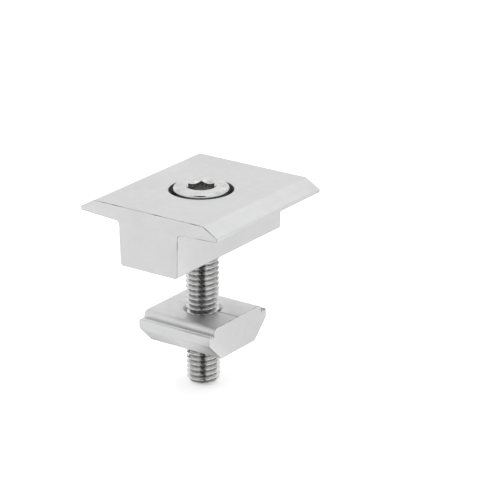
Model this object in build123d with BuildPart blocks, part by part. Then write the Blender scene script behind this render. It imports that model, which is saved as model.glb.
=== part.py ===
"""Mid clamp for framed solar panels: an extruded clamp body, a socket head bolt with its
spring washer, and the extruded nut that runs in the mounting rail.

Frame: the bolt's axis is Z and the clamp body's flat top is Z = 0. The clamp body's section
lies in XZ, so its two flanges reach along -X and +X. The rail nut's section lies in YZ,
because the rail crosses the gap between the panels at a right angle.
"""

import os
from math import tan, radians

from build123d import *

os.makedirs("parts", exist_ok=True)

# ---------------------------------------------------------------- driving dimensions, mm
CLAMP_WIDTH = 38.0  # X, from flange tip to flange tip
CLAMP_LENGTH = 40.0  # Y, the sawn length of the extrusion
CLAMP_HEIGHT = 14.1  # from the flat top to the underside of the stem
BOLT_LENGTH = 40.0  # M8 x 40, measured under the head
HEAD_TOP = 0.8  # Z of the head's top, a little proud of the clamp body's flat top
NUT_TOP = -29.2  # Z of the nut's flat top, where it stands on the thread

# clamp body section
TOP_HALF_WIDTH = 15.2  # the flat top ends here and the sloped flange top begins
TIP_DROP = 2.2  # the slope falls this far on its way to the tip
TIP_THICKNESS = 0.85
FLANGE_THICKNESS = 3.6  # where the flange meets the stem
STEM_HALF_WIDTH = 8.2  # just below the flanges
STEM_DRAFT = 1.4  # degrees, each side
TOP_CREASE_RADIUS = 1.2
TIP_RADIUS = 0.35
ROOT_RADIUS = 1.0
STEM_EDGE_RADIUS = 0.8

# clamp body bore
BOLT_HOLE_RADIUS = 4.5
HEAD_POCKET_RADIUS = 7.5
EDGE_BREAK = 0.2

# bolt, M8 socket head
SHANK_RADIUS = 3.9
HEAD_RADIUS = 6.5
HEAD_HEIGHT = 8.0
HEAD_EDGE_RADIUS = 0.9
HEAD_FOOT_CHAMFER = 0.3
SOCKET_FLATS = 6.0
SOCKET_DEPTH = 5.0
SOCKET_MOUTH_RADIUS = 3.6
SOCKET_TURN = 5.8  # degrees from X to the first corner of the hexagon
SOCKET_POINT = 1.2  # depth of the drill point under the hexagon
SHANK_END_CHAMFER = 0.8

# spring washer under the head
WASHER_OUTER_RADIUS = 6.35
WASHER_INNER_RADIUS = 4.1
WASHER_THICKNESS = 2.0
WASHER_SPLIT = 0.9
WASHER_SPLIT_SLOPE = 25.0  # degrees from upright
WASHER_EDGE = 0.25

# rail nut section
NUT_LENGTH = 20.0  # X
NUT_HEIGHT = 8.1
NUT_TOP_HALF_WIDTH = 7.9
SHOULDER_HALF_WIDTH = 9.2
SHOULDER_BULGE = (8.85, 0.42)  # the shoulder's arc passes here: half width, depth
SHOULDER_DEPTH = 1.25
LEDGE_HALF_WIDTH = 11.15
LEDGE_DEPTH = 1.5
LEDGE_THICKNESS = 2.2
NUT_BASE_HALF_WIDTH = 6.6
FOOT_GROOVE = (9.3, 1.95)  # root of the groove at the shoulder's foot
RIDGE_HALF_WIDTHS = (9.75, 10.0)  # the tooth between the two grooves
TOOTH_GROOVE = (10.35, 1.95)
LIP_INNER_HALF_WIDTH = 10.7
LEDGE_TOP_RADIUS = 0.35
LEDGE_FOOT_RADIUS = 0.8
NUT_BASE_RADIUS = 0.6
CENTRE_LINE_HALF_WIDTH = 0.2
CENTRE_LINE_DEPTH = 0.15
NUT_BORE_RADIUS = 3.96  # clears the shank by 0.06, a running fit
NUT_COUNTERSINK = 0.65

HEAD_FOOT = HEAD_TOP - HEAD_HEIGHT
POCKET_DEPTH = -HEAD_FOOT + WASHER_THICKNESS
SHANK_END = HEAD_FOOT - BOLT_LENGTH


# ---------------------------------------------------------------- clamp body
stem_foot_half_width = STEM_HALF_WIDTH - (CLAMP_HEIGHT - FLANGE_THICKNESS) * tan(
    radians(STEM_DRAFT)
)
tip = CLAMP_WIDTH / 2
with BuildPart() as clamp_body:
    with BuildSketch(Plane.XZ):
        with BuildLine():
            Polyline(
                (0, 0),
                (TOP_HALF_WIDTH, 0),
                (tip, -TIP_DROP),
                (tip, -TIP_DROP - TIP_THICKNESS),
                (STEM_HALF_WIDTH, -FLANGE_THICKNESS),
                (stem_foot_half_width, -CLAMP_HEIGHT),
                (0, -CLAMP_HEIGHT),
                close=True,
            )
        make_face()
        mirror(about=Plane.YZ)
    extrude(amount=CLAMP_LENGTH / 2, both=True)
    for half_width, height, radius in (
        (TOP_HALF_WIDTH, 0, TOP_CREASE_RADIUS),
        (tip, -TIP_DROP, TIP_RADIUS),
        (tip, -TIP_DROP - TIP_THICKNESS, TIP_RADIUS),
        (STEM_HALF_WIDTH, -FLANGE_THICKNESS, ROOT_RADIUS),
        (stem_foot_half_width, -CLAMP_HEIGHT, STEM_EDGE_RADIUS),
    ):
        for side in (-1, 1):
            corner = Vector(side * half_width, 0, height)
            long_edges = clamp_body.edges().filter_by(Axis.Y)
            fillet(long_edges.sort_by_distance(corner)[0], radius)
    CounterBoreHole(BOLT_HOLE_RADIUS, HEAD_POCKET_RADIUS, POCKET_DEPTH, CLAMP_HEIGHT)
    bore_mouths = clamp_body.edges().filter_by(GeomType.CIRCLE).group_by(Axis.Z)
    chamfer(bore_mouths[-1], EDGE_BREAK)
    chamfer(bore_mouths[0], EDGE_BREAK)
clamp_body.part.label = "clamp_body"

# ---------------------------------------------------------------- socket head bolt
with BuildPart() as socket_head_bolt:
    with BuildSketch(Plane.XY.offset(HEAD_FOOT)):
        Circle(HEAD_RADIUS)
    extrude(amount=HEAD_HEIGHT)
    rims = socket_head_bolt.edges().filter_by(GeomType.CIRCLE).sort_by(Axis.Z)
    fillet(rims[-1], HEAD_EDGE_RADIUS)
    chamfer(rims[0], HEAD_FOOT_CHAMFER)
    with BuildSketch(Plane.XY.offset(HEAD_TOP)):
        RegularPolygon(
            SOCKET_FLATS / 2, side_count=6, major_radius=False, rotation=SOCKET_TURN
        )
    extrude(amount=-SOCKET_DEPTH, mode=Mode.SUBTRACT)
    with Locations((0, 0, HEAD_TOP)):
        mouth_depth = SOCKET_MOUTH_RADIUS - SOCKET_FLATS / 2 + 0.25
        Cone(
            SOCKET_MOUTH_RADIUS - mouth_depth,
            SOCKET_MOUTH_RADIUS,
            mouth_depth,
            align=(Align.CENTER, Align.CENTER, Align.MAX),
            mode=Mode.SUBTRACT,
        )
    with Locations((0, 0, HEAD_TOP - SOCKET_DEPTH)):
        Cone(
            0.1,
            SOCKET_FLATS / 2 - 0.1,
            SOCKET_POINT,
            align=(Align.CENTER, Align.CENTER, Align.MAX),
            mode=Mode.SUBTRACT,
        )
    with BuildSketch(Plane.XY.offset(HEAD_FOOT)):
        Circle(SHANK_RADIUS)
    extrude(amount=-BOLT_LENGTH)
    chamfer(
        socket_head_bolt.edges().filter_by(GeomType.CIRCLE).sort_by(Axis.Z)[0],
        SHANK_END_CHAMFER,
    )
socket_head_bolt.part.label = "socket_head_bolt"

# ---------------------------------------------------------------- spring washer
with BuildPart() as spring_washer:
    with BuildSketch(Plane.XY.offset(HEAD_FOOT - WASHER_THICKNESS)):
        Circle(WASHER_OUTER_RADIUS)
        Circle(WASHER_INNER_RADIUS, mode=Mode.SUBTRACT)
    extrude(amount=WASHER_THICKNESS)
    outer_rims = spring_washer.edges().filter_by(GeomType.CIRCLE).sort_by(SortBy.RADIUS)[-2:]
    chamfer(outer_rims, WASHER_EDGE)
    with Locations(
        Location(
            (WASHER_OUTER_RADIUS, 0, HEAD_FOOT - WASHER_THICKNESS / 2),
            (WASHER_SPLIT_SLOPE, 0, 0),
        )
    ):
        Box(
            2 * WASHER_OUTER_RADIUS - WASHER_INNER_RADIUS,
            WASHER_SPLIT,
            3 * WASHER_THICKNESS,
            mode=Mode.SUBTRACT,
        )
spring_washer.part.label = "spring_washer"

# ---------------------------------------------------------------- rail nut
ledge_top = NUT_TOP - LEDGE_DEPTH
nut_base = NUT_TOP - NUT_HEIGHT
shoulder_foot = (SHOULDER_HALF_WIDTH, NUT_TOP - SHOULDER_DEPTH)
with BuildPart() as rail_nut:
    with BuildSketch(Plane.YZ):
        with BuildLine():
            flat = Polyline(
                (0, NUT_TOP - CENTRE_LINE_DEPTH),
                (CENTRE_LINE_HALF_WIDTH, NUT_TOP),
                (NUT_TOP_HALF_WIDTH, NUT_TOP),
            )
            ThreePointArc(
                flat @ 1,
                (SHOULDER_BULGE[0], NUT_TOP - SHOULDER_BULGE[1]),
                shoulder_foot,
            )
            Polyline(
                shoulder_foot,
                (FOOT_GROOVE[0], NUT_TOP - FOOT_GROOVE[1]),
                (RIDGE_HALF_WIDTHS[0], ledge_top),
                (RIDGE_HALF_WIDTHS[1], ledge_top),
                (TOOTH_GROOVE[0], NUT_TOP - TOOTH_GROOVE[1]),
                (LIP_INNER_HALF_WIDTH, ledge_top),
                (LEDGE_HALF_WIDTH, ledge_top),
                (LEDGE_HALF_WIDTH, ledge_top - LEDGE_THICKNESS),
                (NUT_BASE_HALF_WIDTH, nut_base),
                (0, nut_base),
                (0, NUT_TOP - CENTRE_LINE_DEPTH),
            )
        make_face()
        mirror(about=Plane.YZ)
    extrude(amount=NUT_LENGTH / 2, both=True)
    for half_width, height, radius in (
        (LEDGE_HALF_WIDTH, ledge_top, LEDGE_TOP_RADIUS),
        (LEDGE_HALF_WIDTH, ledge_top - LEDGE_THICKNESS, LEDGE_FOOT_RADIUS),
        (NUT_BASE_HALF_WIDTH, nut_base, NUT_BASE_RADIUS),
    ):
        for side in (-1, 1):
            corner = Vector(0, side * half_width, height)
            long_edges = rail_nut.edges().filter_by(Axis.X)
            fillet(long_edges.sort_by_distance(corner)[0], radius)
    with Locations((0, 0, NUT_TOP)):
        Hole(NUT_BORE_RADIUS, NUT_HEIGHT)
    bore_rims = rail_nut.edges().filter_by(GeomType.CIRCLE).sort_by(Axis.Z)
    chamfer(bore_rims[0], NUT_COUNTERSINK)
    with Locations((0, 0, NUT_TOP)):
        Cone(
            NUT_BORE_RADIUS,
            NUT_BORE_RADIUS + NUT_COUNTERSINK,
            NUT_COUNTERSINK,
            align=(Align.CENTER, Align.CENTER, Align.MAX),
            mode=Mode.SUBTRACT,
        )
rail_nut.part.label = "rail_nut"

# ---------------------------------------------------------------- files
export_step(clamp_body.part, "parts/clamp_body.step")
export_step(socket_head_bolt.part, "parts/socket_head_bolt.step")
export_step(spring_washer.part, "parts/spring_washer.step")
export_step(rail_nut.part, "parts/rail_nut.step")
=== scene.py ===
"""Looks of a mid clamp for framed solar panels, laid out as an add-on.

Lengths are in metres in the part's own frame: the bolt's axis is Z and the clamp body's flat
top is Z = 0. The clamp body was extruded along Y, and the rail nut along X.
"""

from math import cos, radians, sin, tau

import bmesh
import bpy
from bpy.props import FloatProperty, FloatVectorProperty, IntProperty, PointerProperty
from mathutils import Matrix, Vector


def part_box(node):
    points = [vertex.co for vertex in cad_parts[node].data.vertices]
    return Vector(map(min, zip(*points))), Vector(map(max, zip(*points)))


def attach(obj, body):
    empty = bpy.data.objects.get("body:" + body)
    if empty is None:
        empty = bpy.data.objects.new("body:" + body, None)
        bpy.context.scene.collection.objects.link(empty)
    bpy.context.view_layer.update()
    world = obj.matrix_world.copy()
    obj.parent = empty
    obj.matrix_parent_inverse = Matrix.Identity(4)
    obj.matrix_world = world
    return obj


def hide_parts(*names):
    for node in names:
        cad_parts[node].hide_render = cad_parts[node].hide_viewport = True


bl_info = {
    "name": "Solar mid clamp",
    "version": (1, 0, 0),
    "blender": (4, 5, 0),
    "location": "3D View > Sidebar > Mid clamp",
    "description": "Builds a mid clamp for solar panels, its socket head bolt and its rail nut",
    "category": "Object",
}

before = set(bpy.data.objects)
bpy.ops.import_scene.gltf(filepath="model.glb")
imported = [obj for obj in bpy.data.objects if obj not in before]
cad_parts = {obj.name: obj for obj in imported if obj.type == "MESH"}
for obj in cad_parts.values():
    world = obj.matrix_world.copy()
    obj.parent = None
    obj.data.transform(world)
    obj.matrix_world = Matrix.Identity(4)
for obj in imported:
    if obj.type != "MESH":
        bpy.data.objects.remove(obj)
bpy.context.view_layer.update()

# ---------------------------------------------------------------- constants
EDGE_ATTRIBUTE = "edge"  # 1 on the faces of a broken edge, where the material paints shade
DEPTH_ATTRIBUTE = "thread_depth"  # 0 off the thread, CREST_MARK on its crests, 1 at its root; it guides the painted shade in the roots
CREST_MARK = 0.2

WELD_DISTANCE = 1e-7
FLAT_ANGLE = radians(0.4)  # CAD triangles that meet at less than this are one face
SAWN_CORNER_ANGLE = radians(60)  # a sawn end meets the extruded faces at more than this
END_TOLERANCE = 1e-6  # a point this near a sawn end lies on it
EXTRUSION_SMOOTH_ANGLE = radians(24)
BOLT_SMOOTH_ANGLE = radians(32)
NECK_MARGIN = 0.00001  # points further under the head than this are the plain shank's
THREAD_START = 0.0001  # the thread's first row lies this far under the head
CREST_SHARE = 0.16  # of half a pitch; the root has what crest and flank leave
FLANK_SHARE = 0.66

NUT_EDGE_SHARE = 0.7  # the nut's broken edges against the clamp body's
CLAMP_EDGE_SHADE = 0.03  # grey of the painted shade on the broken edges
NUT_EDGE_SHADE = 0.12
WASHER_ROUGHNESS = 0.34
ALUMINIUM_RELIEF = 0.000012  # depth of the die lines
STEEL_RELIEF = 0.000002
DRAWN_ALONG_X = (0.02, 1.0, 1.0)  # the die lines' scale along each axis
DRAWN_ALONG_Y = (1.0, 0.02, 1.0)

FLOOR_SIZE = 6.0
STRIP_RISE = 0.0003  # the floor strips lie this far above the floor
CARD_DISTANCE = 0.4
CARD_CENTRE = Vector((0.0, 0.0, -0.02))  # the cards stand around this point and face it

# name, turn from the camera's side and rise in degrees, width, height, brightness
CARDS = (
    ("Dark front", -5, 38, 0.28, 0.26, 0.02),
    ("Bright back", 142, 42, 0.26, 0.2, 1.22),
)
# name, turn from the camera's side and spread in degrees, near and far end, brightness
FLOOR_STRIPS = (
    ("Dark near floor", -4, 36, (0.007, 0.028), 0.05),
    ("Dark front floor", -4, 54, (0.028, 0.5), 0.05),
    ("Bright right floor", 42, 26, (0.012, 0.5), 1.45),
    ("Soft right floor", 104, 50, (0.012, 0.5), 0.98),
    ("Soft left floor", -72, 44, (0.012, 0.5), 1.07),
    ("Dim left floor", -140, 40, (0.012, 0.5), 0.3),
    ("Dim right floor", 150, 16, (0.012, 0.5), 0.4),
)


# ---------------------------------------------------------------- settings
class MidClampMetal(bpy.types.PropertyGroup):
    """Finish of the extruded aluminium and of the steel."""

    aluminium_colour: FloatVectorProperty(
        name="Aluminium colour",
        description="Colour of the clear anodised faces",
        subtype="COLOR",
        default=(0.655, 0.655, 0.657),
        min=0.0,
        max=1.0,
    )
    aluminium_roughness: FloatProperty(
        name="Aluminium roughness",
        description="Roughness between the extrusion lines",
        default=0.42,
        min=0.0,
        max=1.0,
    )
    steel_colour: FloatVectorProperty(
        name="Steel colour",
        description="Colour of the bolt's bright stainless steel",
        subtype="COLOR",
        default=(0.625, 0.625, 0.622),
        min=0.0,
        max=1.0,
    )
    steel_roughness: FloatProperty(
        name="Steel roughness",
        description="Roughness of the rolled and polished steel",
        default=0.19,
        min=0.0,
        max=1.0,
    )
    edge_break: FloatProperty(
        name="Edge break",
        description="Width of the small bevel that the saw and the finish leave on sharp edges",
        default=0.00011,
        min=0.0,
        soft_max=0.0005,
        unit="LENGTH",
    )


class MidClampThread(bpy.types.PropertyGroup):
    """The bolt's thread."""

    pitch: FloatProperty(
        name="Pitch",
        description="Distance between two crests along the bolt",
        default=0.00125,
        min=0.0005,
        unit="LENGTH",
    )
    crest_radius: FloatProperty(
        name="Crest radius",
        description="Half the thread's outer diameter",
        default=0.00386,
        min=0.001,
        unit="LENGTH",
    )
    depth: FloatProperty(
        name="Depth",
        description="How far the root lies below the crest",
        default=0.00074,
        min=0.0,
        unit="LENGTH",
    )
    end_taper: FloatProperty(
        name="End taper",
        description="Height of the chamfer at the bolt's end",
        default=0.0008,
        min=0.0,
        unit="LENGTH",
    )
    segments: IntProperty(
        name="Segments",
        description="Steps around one turn",
        default=96,
        min=12,
    )
    rows_per_turn: IntProperty(
        name="Rows per turn",
        description="Steps along one pitch",
        default=16,
        min=6,
    )


class MidClampView(bpy.types.PropertyGroup):
    """Camera and floor."""

    azimuth: FloatProperty(
        name="Azimuth",
        description="Camera's angle around the part, from the front towards the right flange",
        default=radians(35.83),
        subtype="ANGLE",
    )
    elevation: FloatProperty(
        name="Elevation",
        description="Camera's angle above the flat top",
        default=radians(20.57),
        subtype="ANGLE",
    )
    roll: FloatProperty(
        name="Roll",
        description="Camera's turn about its own axis",
        default=radians(-0.42),
        subtype="ANGLE",
    )
    distance: FloatProperty(
        name="Distance",
        description="From the camera to the frame's origin, along the line of sight",
        default=0.5879,
        min=0.1,
        unit="LENGTH",
    )
    side_offset: FloatVectorProperty(
        name="Place in view",
        description="Where the frame's origin lies from the middle of the view: right and up",
        size=2,
        default=(-0.00881, 0.01173),
        unit="LENGTH",
    )
    lens: FloatProperty(
        name="Lens",
        description="Focal length in millimetres",
        default=194.0,
        min=10.0,
    )
    floor_drop: FloatProperty(
        name="Floor drop",
        description="Gap between the bolt's end and the floor",
        default=0.0006,
        min=0.0,
        unit="LENGTH",
    )


# ---------------------------------------------------------------- shader nodes
def feed(tree, socket, value):
    """Links a socket to another one, or gives it a plain value."""
    if isinstance(value, bpy.types.NodeSocket):
        tree.links.new(value, socket)
    else:
        socket.default_value = value


def noise(tree, place, scale, detail):
    """Grey noise over the given coordinates."""
    node = tree.nodes.new("ShaderNodeTexNoise")
    feed(tree, node.inputs["Vector"], place)
    feed(tree, node.inputs["Scale"], scale)
    feed(tree, node.inputs["Detail"], detail)
    return node.outputs["Fac"]


def remap(tree, value, source, target):
    """The value moved from one range to another; each end is a number or a socket."""
    node = tree.nodes.new("ShaderNodeMapRange")
    feed(tree, node.inputs["Value"], value)
    ends = ("From Min", "From Max", "To Min", "To Max")
    for name, end in zip(ends, (*source, *target)):
        feed(tree, node.inputs[name], end)
    return node.outputs["Result"]


def calculate(tree, operation, *values):
    """The result of one math operation on sockets and numbers."""
    node = tree.nodes.new("ShaderNodeMath")
    node.operation = operation
    for socket, value in zip(node.inputs, values):
        feed(tree, socket, value)
    return node.outputs["Value"]


def shade_colour(tree, colour, factor):
    """The colour made darker or lighter by a factor."""
    node = tree.nodes.new("ShaderNodeVectorMath")
    node.operation = "SCALE"
    feed(tree, node.inputs[0], colour)
    feed(tree, node.inputs["Scale"], factor)
    return node.outputs["Vector"]


def attribute(tree, name):
    """A mesh attribute as a grey value."""
    node = tree.nodes.new("ShaderNodeAttribute")
    node.attribute_name = name
    return node.outputs["Fac"]


def own_coordinates(tree):
    """Places in the piece's own frame, in metres."""
    return tree.nodes.new("ShaderNodeTexCoord").outputs["Object"]


# ---------------------------------------------------------------- shared effects
def new_group(name, inputs, outputs):
    """An empty shader group with its named sockets, and its two end nodes."""
    group = bpy.data.node_groups.new(name, "ShaderNodeTree")
    for socket_name, kind, default in inputs:
        socket = group.interface.new_socket(socket_name, in_out="INPUT", socket_type=kind)
        socket.default_value = default
    for socket_name, kind in outputs:
        group.interface.new_socket(socket_name, in_out="OUTPUT", socket_type=kind)
    given = group.nodes.new("NodeGroupInput").outputs
    result = group.nodes.new("NodeGroupOutput").inputs
    return group, given, result


def extrusion_group(name):
    """Die lines and fine mottling of an anodised extrusion, drawn out by the given stretch."""
    group, given, result = new_group(
        name,
        (
            ("Colour", "NodeSocketColor", (0.7, 0.7, 0.7, 1.0)),
            ("Roughness", "NodeSocketFloat", 0.4),
            ("Stretch", "NodeSocketVector", (1.0, 1.0, 1.0)),
        ),
        (
            ("Colour", "NodeSocketColor"),
            ("Roughness", "NodeSocketFloat"),
            ("Height", "NodeSocketFloat"),
        ),
    )
    place = own_coordinates(group)
    drawn_out = group.nodes.new("ShaderNodeMapping")
    feed(group, drawn_out.inputs["Vector"], place)
    feed(group, drawn_out.inputs["Scale"], given["Stretch"])
    lines = noise(group, drawn_out.outputs["Vector"], scale=2600.0, detail=3.0)
    mottle = noise(group, place, scale=420.0, detail=4.0)
    clouds = noise(group, place, scale=55.0, detail=2.0)

    cloud_shade = remap(group, clouds, (0.0, 1.0), (0.93, 1.05))
    line_shade = remap(group, lines, (0.3, 0.7), (0.98, 1.012))
    shade = calculate(group, "MULTIPLY", cloud_shade, line_shade)
    feed(group, result["Colour"], shade_colour(group, given["Colour"], shade))

    rough_shift = remap(group, mottle, (0.3, 0.7), (-0.06, 0.06))
    rough = calculate(group, "ADD", given["Roughness"], rough_shift)
    feed(group, result["Roughness"], rough)

    feed(group, result["Height"], calculate(group, "MULTIPLY_ADD", mottle, 0.35, lines))
    return group


def painted_edge_shade_group(name):
    """Paints shade along the narrow broken edges, darker in some places than in others."""
    group, given, result = new_group(
        name,
        (
            ("Colour", "NodeSocketColor", (0.7, 0.7, 0.7, 1.0)),
            ("Edge shade colour", "NodeSocketColor", (0.2, 0.2, 0.2, 1.0)),
        ),
        (("Colour", "NodeSocketColor"),),
    )
    patches = noise(group, own_coordinates(group), scale=380.0, detail=3.0)
    # painted shade on the edges, broken into patches
    patchy_edge_shade = remap(group, patches, (0.42, 0.6), (0.34, 1.0))
    edge_shade_mask = calculate(group, "MULTIPLY", attribute(group, EDGE_ATTRIBUTE), patchy_edge_shade)
    mix = group.nodes.new("ShaderNodeMix")
    mix.data_type = "RGBA"
    feed(group, mix.inputs["Factor"], edge_shade_mask)
    feed(group, mix.inputs["A"], given["Colour"])
    feed(group, mix.inputs["B"], given["Edge shade colour"])
    feed(group, result["Colour"], mix.outputs["Result"])
    return group


def steel_and_root_shade_group(name):
    """Bright steel with small dents and fine grain, with painted shade where its thread is
    deep.
    """
    group, given, result = new_group(
        name,
        (
            ("Colour", "NodeSocketColor", (0.6, 0.6, 0.6, 1.0)),
            ("Roughness", "NodeSocketFloat", 0.2),
        ),
        (
            ("Colour", "NodeSocketColor"),
            ("Roughness", "NodeSocketFloat"),
            ("Height", "NodeSocketFloat"),
        ),
    )
    place = own_coordinates(group)
    grain = noise(group, place, scale=1500.0, detail=4.0)
    dents = noise(group, place, scale=620.0, detail=3.0)
    depth = attribute(group, DEPTH_ATTRIBUTE)

    # the head is more dented and stained than the rolled thread
    off_thread = (0.0, CREST_MARK)
    dent_height = remap(group, depth, off_thread, (16.0, 3.0))
    darkest_stain = remap(group, depth, off_thread, (0.84, 0.93))
    stain = remap(group, dents, (0.36, 0.56), (darkest_stain, 1.01))
    # painted shade: the colour darkens towards the thread's roots, as if they were shaded
    painted_root_shade = remap(group, depth, (0.68, 1.0), (1.0, 0.35))
    shade = calculate(group, "MULTIPLY", painted_root_shade, stain)
    feed(group, result["Colour"], shade_colour(group, given["Colour"], shade))

    rough_shift = remap(group, grain, (0.3, 0.7), (-0.05, 0.08))
    rough = calculate(group, "ADD", given["Roughness"], rough_shift)
    feed(group, result["Roughness"], rough)

    relief = calculate(group, "MULTIPLY_ADD", dents, dent_height, grain)
    feed(group, result["Height"], relief)
    return group


def place_effect(tree, name, build):
    """A node of the named shader group, which is built the first time it is asked for."""
    node = tree.nodes.new("ShaderNodeGroup")
    node.node_tree = bpy.data.node_groups.get(name) or build(name)
    return node


# ---------------------------------------------------------------- materials
def new_material(name):
    material = bpy.data.materials.new(name)
    material.use_nodes = True
    return material, material.node_tree


def grey(tone):
    return (tone, tone, tone, 1.0)


def metal_shader(tree, colour, roughness, height, relief):
    """Feeds a material's shader as bare metal, with a fine relief of the given height."""
    bump = tree.nodes.new("ShaderNodeBump")
    bump.inputs["Distance"].default_value = relief
    bump.inputs["Strength"].default_value = 0.5
    feed(tree, bump.inputs["Height"], height)
    shader = tree.nodes["Principled BSDF"]
    shader.inputs["Metallic"].default_value = 1.0
    feed(tree, shader.inputs["Base Color"], colour)
    feed(tree, shader.inputs["Roughness"], roughness)
    feed(tree, shader.inputs["Normal"], bump.outputs["Normal"])


def anodised_material(name, stretch, edge_shade_tone):
    """Clear anodised aluminium with die lines along its extrusion."""
    metal = bpy.context.scene.mid_clamp_metal
    material, tree = new_material(name)
    lines = place_effect(tree, "Extrusion lines", extrusion_group)
    lines.inputs["Colour"].default_value = (*metal.aluminium_colour, 1.0)
    lines.inputs["Roughness"].default_value = metal.aluminium_roughness
    lines.inputs["Stretch"].default_value = stretch
    # painted shade along the broken edges
    edge = place_effect(tree, "Painted edge shade", painted_edge_shade_group)
    edge.inputs["Edge shade colour"].default_value = grey(edge_shade_tone)
    feed(tree, edge.inputs["Colour"], lines.outputs["Colour"])
    metal_shader(
        tree,
        edge.outputs["Colour"],
        lines.outputs["Roughness"],
        lines.outputs["Height"],
        ALUMINIUM_RELIEF,
    )
    return material


def steel_material(name, roughness):
    """Bright stainless steel."""
    metal = bpy.context.scene.mid_clamp_metal
    material, tree = new_material(name)
    steel = place_effect(tree, "Bright steel", steel_and_root_shade_group)
    steel.inputs["Colour"].default_value = (*metal.steel_colour, 1.0)
    steel.inputs["Roughness"].default_value = roughness
    metal_shader(
        tree,
        steel.outputs["Colour"],
        steel.outputs["Roughness"],
        steel.outputs["Height"],
        STEEL_RELIEF,
    )
    return material


# ---------------------------------------------------------------- meshes
def link_object(name, data):
    """A new object in the scene for the given mesh, light or camera."""
    new_object = bpy.data.objects.new(name, data)
    bpy.context.scene.collection.objects.link(new_object)
    return new_object


def solid_copy(node):
    """An editable copy of a CAD node with whole flat faces instead of triangles."""
    bm = bmesh.new()
    bm.from_mesh(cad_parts[node].data)
    bmesh.ops.remove_doubles(bm, verts=bm.verts, dist=WELD_DISTANCE)
    bmesh.ops.dissolve_limit(
        bm, angle_limit=FLAT_ANGLE, verts=bm.verts, edges=bm.edges, delimit={"NORMAL"}
    )
    return bm


def break_sawn_ends(bm, axis, half_length, width):
    """Bevels the rims of an extrusion's two ends and marks the new faces as broken edges.

    The extrusion runs along the given axis, 0 for X or 1 for Y.
    """
    mark = bm.faces.layers.float.new(EDGE_ATTRIBUTE)
    rims = [
        edge
        for edge in bm.edges
        if all(abs(abs(vert.co[axis]) - half_length) < END_TOLERANCE for vert in edge.verts)
        and edge.calc_face_angle(0.0) > SAWN_CORNER_ANGLE
    ]
    made = bmesh.ops.bevel(
        bm,
        geom=rims,
        offset=width,
        offset_type="OFFSET",
        segments=2,
        profile=0.6,
        affect="EDGES",
        clamp_overlap=True,
    )
    # these faces get the painted edge shade
    for face in made["faces"]:
        face[mark] = 1.0


def finish_mesh(bm, name, smooth_angle):
    """Writes the mesh, smooth except at edges sharper than the given angle."""
    for face in bm.faces:
        face.smooth = True
    for edge in bm.edges:
        edge.smooth = not edge.is_manifold or edge.calc_face_angle(0.0) < smooth_angle
    mesh = bpy.data.meshes.new(name)
    bm.to_mesh(mesh)
    bm.free()
    return mesh


def thread_level(phase):
    """How deep the thread is at a part of its pitch: 0 on the crest, 1 at the root."""
    rise = abs(phase - 0.5) * 2.0
    return min(1.0, max(0.0, (rise - CREST_SHARE) / FLANK_SHARE))


def thread_mesh(bm, thread, depth_mark, top, bottom):
    """Adds a threaded shank to the mesh, as rows of points around the bolt's axis.

    Returns the open edges at its top.
    """
    row_count = round((top - bottom) / thread.pitch * thread.rows_per_turn)
    step = (top - bottom) / row_count
    rows = []
    for row_index in range(row_count + 1):
        height = top - row_index * step
        end_radius = thread.crest_radius - max(0.0, bottom + thread.end_taper - height)
        row = []
        for k in range(thread.segments):
            turn = k / thread.segments
            level = thread_level((height / thread.pitch - turn) % 1.0)
            radius = min(thread.crest_radius - thread.depth * level, end_radius)
            angle = turn * tau
            vert = bm.verts.new((radius * cos(angle), radius * sin(angle), height))
            # this mark guides the painted shade in the thread's roots
            vert[depth_mark] = CREST_MARK + (1.0 - CREST_MARK) * level
            row.append(vert)
        rows.append(row)
    for upper, lower in zip(rows, rows[1:]):
        for k in range(thread.segments):
            after = (k + 1) % thread.segments
            bm.faces.new((upper[k], lower[k], lower[after], upper[after]))
    bm.faces.new(list(reversed(rows[-1])))
    top_edges = {edge for vert in rows[0] for edge in vert.link_edges}
    return [edge for edge in top_edges if edge.is_boundary]


# ---------------------------------------------------------------- pieces
class OBJECT_OT_mid_clamp_body(bpy.types.Operator):
    """Build the extruded clamp body with its broken edges"""

    bl_idname = "object.mid_clamp_body"
    bl_label = "Clamp body"

    def execute(self, context):
        metal = context.scene.mid_clamp_metal
        half_length = max(abs(corner.y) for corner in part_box("clamp_body"))
        bm = solid_copy("clamp_body")
        break_sawn_ends(bm, 1, half_length, metal.edge_break)
        mesh = finish_mesh(bm, "mid_clamp_body", EXTRUSION_SMOOTH_ANGLE)
        body = link_object("mid_clamp_body", mesh)
        finish = anodised_material("Anodised clamp", DRAWN_ALONG_Y, CLAMP_EDGE_SHADE)
        mesh.materials.append(finish)
        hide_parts("clamp_body")
        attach(body, "clamp")
        return {"FINISHED"}


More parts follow.
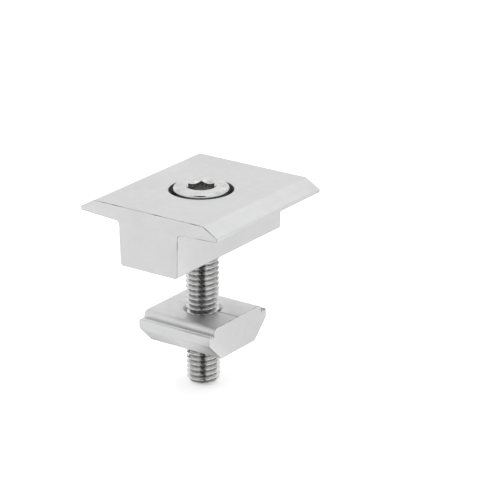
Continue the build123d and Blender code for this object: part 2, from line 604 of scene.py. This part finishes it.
class OBJECT_OT_mid_clamp_bolt(bpy.types.Operator):
    """Build the socket head bolt with its real thread"""

    bl_idname = "object.mid_clamp_bolt"
    bl_label = "Socket head bolt"

    def execute(self, context):
        metal = context.scene.mid_clamp_metal
        thread = context.scene.mid_clamp_thread
        bolt_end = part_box("socket_head_bolt")[0].z
        head_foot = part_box("spring_washer")[1].z
        bm = solid_copy("socket_head_bolt")
        depth_mark = bm.verts.layers.float.new(DEPTH_ATTRIBUTE)
        plain_shank = [vert for vert in bm.verts if vert.co.z < head_foot - NECK_MARGIN]
        bmesh.ops.delete(bm, geom=plain_shank, context="VERTS")
        neck = [edge for edge in bm.edges if edge.is_boundary]
        first_turn = thread_mesh(bm, thread, depth_mark, head_foot - THREAD_START, bolt_end)
        bmesh.ops.bridge_loops(bm, edges=neck + first_turn)
        mesh = finish_mesh(bm, "hex_socket_bolt", BOLT_SMOOTH_ANGLE)
        bolt = link_object("hex_socket_bolt", mesh)
        mesh.materials.append(steel_material("Bright bolt", metal.steel_roughness))
        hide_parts("socket_head_bolt")
        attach(bolt, "bolt")
        return {"FINISHED"}


class OBJECT_OT_mid_clamp_washer(bpy.types.Operator):
    """Finish the split spring washer under the bolt's head"""

    bl_idname = "object.mid_clamp_washer"
    bl_label = "Spring washer"

    def execute(self, context):
        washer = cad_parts["spring_washer"]
        washer.data.materials.clear()
        washer.data.materials.append(steel_material("Spring steel", WASHER_ROUGHNESS))
        return {"FINISHED"}


class OBJECT_OT_mid_clamp_nut(bpy.types.Operator):
    """Build the ridged rail nut with its broken edges"""

    bl_idname = "object.mid_clamp_nut"
    bl_label = "Rail nut"

    def execute(self, context):
        metal = context.scene.mid_clamp_metal
        half_length = max(abs(corner.x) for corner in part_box("rail_nut"))
        bm = solid_copy("rail_nut")
        break_sawn_ends(bm, 0, half_length, metal.edge_break * NUT_EDGE_SHARE)
        mesh = finish_mesh(bm, "ridged_rail_nut", EXTRUSION_SMOOTH_ANGLE)
        nut = link_object("ridged_rail_nut", mesh)
        finish = anodised_material("Anodised nut", DRAWN_ALONG_X, NUT_EDGE_SHADE)
        mesh.materials.append(finish)
        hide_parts("rail_nut")
        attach(nut, "nut")
        return {"FINISHED"}


# ---------------------------------------------------------------- stage
def view_axes(view):
    """The camera's right, up and backward directions."""
    az, el, roll = view.azimuth, view.elevation, view.roll
    back = Vector((sin(az) * cos(el), -cos(az) * cos(el), sin(el)))
    right = Vector((cos(az), sin(az), 0.0))
    up = back.cross(right)
    return cos(roll) * right + sin(roll) * up, cos(roll) * up - sin(roll) * right, back


def add_camera(view):
    right, up, back = view_axes(view)
    across, above = view.side_offset
    data = bpy.data.cameras.new("View")
    data.lens = view.lens
    data.sensor_width = 36.0
    data.clip_start = 0.01
    camera = link_object("View", data)
    turn = Matrix((right, up, back)).transposed().to_4x4()
    place = view.distance * back - across * right - above * up
    camera.matrix_world = Matrix.Translation(place) @ turn
    bpy.context.scene.camera = camera


def aim(place, target, axis):
    """The turn that points the given axis from one place to another."""
    return (Vector(target) - Vector(place)).to_track_quat(axis, "Y").to_euler()


def add_plane(name, place, facing, width, height):
    """A rectangle whose front faces the given point."""
    mesh = bpy.data.meshes.new(name)
    w, h = width / 2, height / 2
    mesh.from_pydata([(-w, -h, 0), (w, -h, 0), (w, h, 0), (-w, h, 0)], [], [(0, 1, 2, 3)])
    plane = link_object(name, mesh)
    plane.location = place
    plane.rotation_euler = aim(place, facing, "Z")
    return plane


def add_floor(floor_height):
    """A wide pale floor with a faint glow of its own."""
    floor = add_plane("Floor", (0, 0, floor_height), (0, 0, 1), FLOOR_SIZE, FLOOR_SIZE)
    material, tree = new_material("Pale floor")
    shader = tree.nodes["Principled BSDF"]
    shader.inputs["Base Color"].default_value = grey(0.95)
    shader.inputs["Roughness"].default_value = 0.9
    shader.inputs["Emission Color"].default_value = grey(1.0)
    shader.inputs["Emission Strength"].default_value = 0.27
    floor.data.materials.append(material)


def show_only_to_metal(card, brightness):
    """Gives a card its plain glow and hides it from everything but reflections."""
    material, tree = new_material(card.name)
    tree.nodes.remove(tree.nodes["Principled BSDF"])
    glow = tree.nodes.new("ShaderNodeEmission")
    glow.inputs["Color"].default_value = grey(brightness)
    feed(tree, tree.nodes["Material Output"].inputs["Surface"], glow.outputs["Emission"])
    card.data.materials.append(material)
    card.visible_camera = False
    card.visible_shadow = False
    card.visible_diffuse = False


def add_card(name, view, turn, rise, width, height, brightness):
    """A plain card that only the metal sees, placed around the part from the camera's side."""
    angle = view.azimuth + radians(turn)
    tilt = radians(rise)
    outward = Vector((sin(angle) * cos(tilt), -cos(angle) * cos(tilt), sin(tilt)))
    place = outward * CARD_DISTANCE + CARD_CENTRE
    show_only_to_metal(add_plane(name, place, CARD_CENTRE, width, height), brightness)


def add_floor_strip(name, view, turn, spread, reach, height, brightness):
    """A wedge just above the floor that only the metal sees, pointing away from the bolt."""
    near, far = reach
    corners = []
    for distance, side in ((near, -1), (near, 1), (far, 1), (far, -1)):
        angle = view.azimuth + radians(turn) + side * radians(spread) / 2
        corners.append((sin(angle) * distance, -cos(angle) * distance, height))
    mesh = bpy.data.meshes.new(name)
    mesh.from_pydata(corners, [], [(0, 1, 2, 3)])
    strip = link_object(name, mesh)
    show_only_to_metal(strip, brightness)


def add_overhead_light():
    """A large weak light above the front."""
    data = bpy.data.lights.new("Overhead", "AREA")
    data.shape = "SQUARE"
    data.size = 0.8
    data.energy = 0.5
    light = link_object("Overhead", data)
    light.location = (0.1, -0.1, 0.7)
    light.rotation_euler = aim(light.location, (0, 0, 0), "-Z")


def add_white_surroundings():
    world = bpy.data.worlds.new("Studio")
    world.use_nodes = True
    background = world.node_tree.nodes["Background"]
    background.inputs["Color"].default_value = grey(1.0)
    background.inputs["Strength"].default_value = 1.05
    bpy.context.scene.world = world


class SCENE_OT_mid_clamp_stage(bpy.types.Operator):
    """Set the pale floor, the soft studio light and the camera"""

    bl_idname = "scene.mid_clamp_stage"
    bl_label = "Stage"

    def execute(self, context):
        view = context.scene.mid_clamp_view
        context.scene.view_settings.view_transform = "Standard"
        add_camera(view)
        floor_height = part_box("socket_head_bolt")[0].z - view.floor_drop
        add_floor(floor_height)
        add_white_surroundings()
        add_overhead_light()
        for name, turn, rise, width, height, brightness in CARDS:
            add_card(name, view, turn, rise, width, height, brightness)
        strip_height = floor_height + STRIP_RISE
        for name, turn, spread, reach, brightness in FLOOR_STRIPS:
            add_floor_strip(name, view, turn, spread, reach, strip_height, brightness)
        return {"FINISHED"}


# ---------------------------------------------------------------- add-on
class VIEW3D_PT_mid_clamp(bpy.types.Panel):
    """Buttons that build the mid clamp"""

    bl_idname = "VIEW3D_PT_mid_clamp"
    bl_label = "Mid clamp"
    bl_space_type = "VIEW_3D"
    bl_region_type = "UI"
    bl_category = "Mid clamp"

    def draw(self, context):
        for operator in OPERATORS:
            self.layout.operator(operator.bl_idname)


SETTINGS = {
    "mid_clamp_metal": MidClampMetal,
    "mid_clamp_thread": MidClampThread,
    "mid_clamp_view": MidClampView,
}
OPERATORS = (
    OBJECT_OT_mid_clamp_body,
    OBJECT_OT_mid_clamp_bolt,
    OBJECT_OT_mid_clamp_washer,
    OBJECT_OT_mid_clamp_nut,
    SCENE_OT_mid_clamp_stage,
)
CLASSES = (*SETTINGS.values(), *OPERATORS, VIEW3D_PT_mid_clamp)


def register():
    for cls in CLASSES:
        bpy.utils.register_class(cls)
    for name, cls in SETTINGS.items():
        setattr(bpy.types.Scene, name, PointerProperty(type=cls))


def unregister():
    for name in SETTINGS:
        delattr(bpy.types.Scene, name)
    for cls in reversed(CLASSES):
        bpy.utils.unregister_class(cls)


def main():
    register()
    bpy.ops.object.mid_clamp_body()
    bpy.ops.object.mid_clamp_bolt()
    bpy.ops.object.mid_clamp_washer()
    bpy.ops.object.mid_clamp_nut()
    bpy.ops.scene.mid_clamp_stage()


if __name__ == "__main__":
    main()
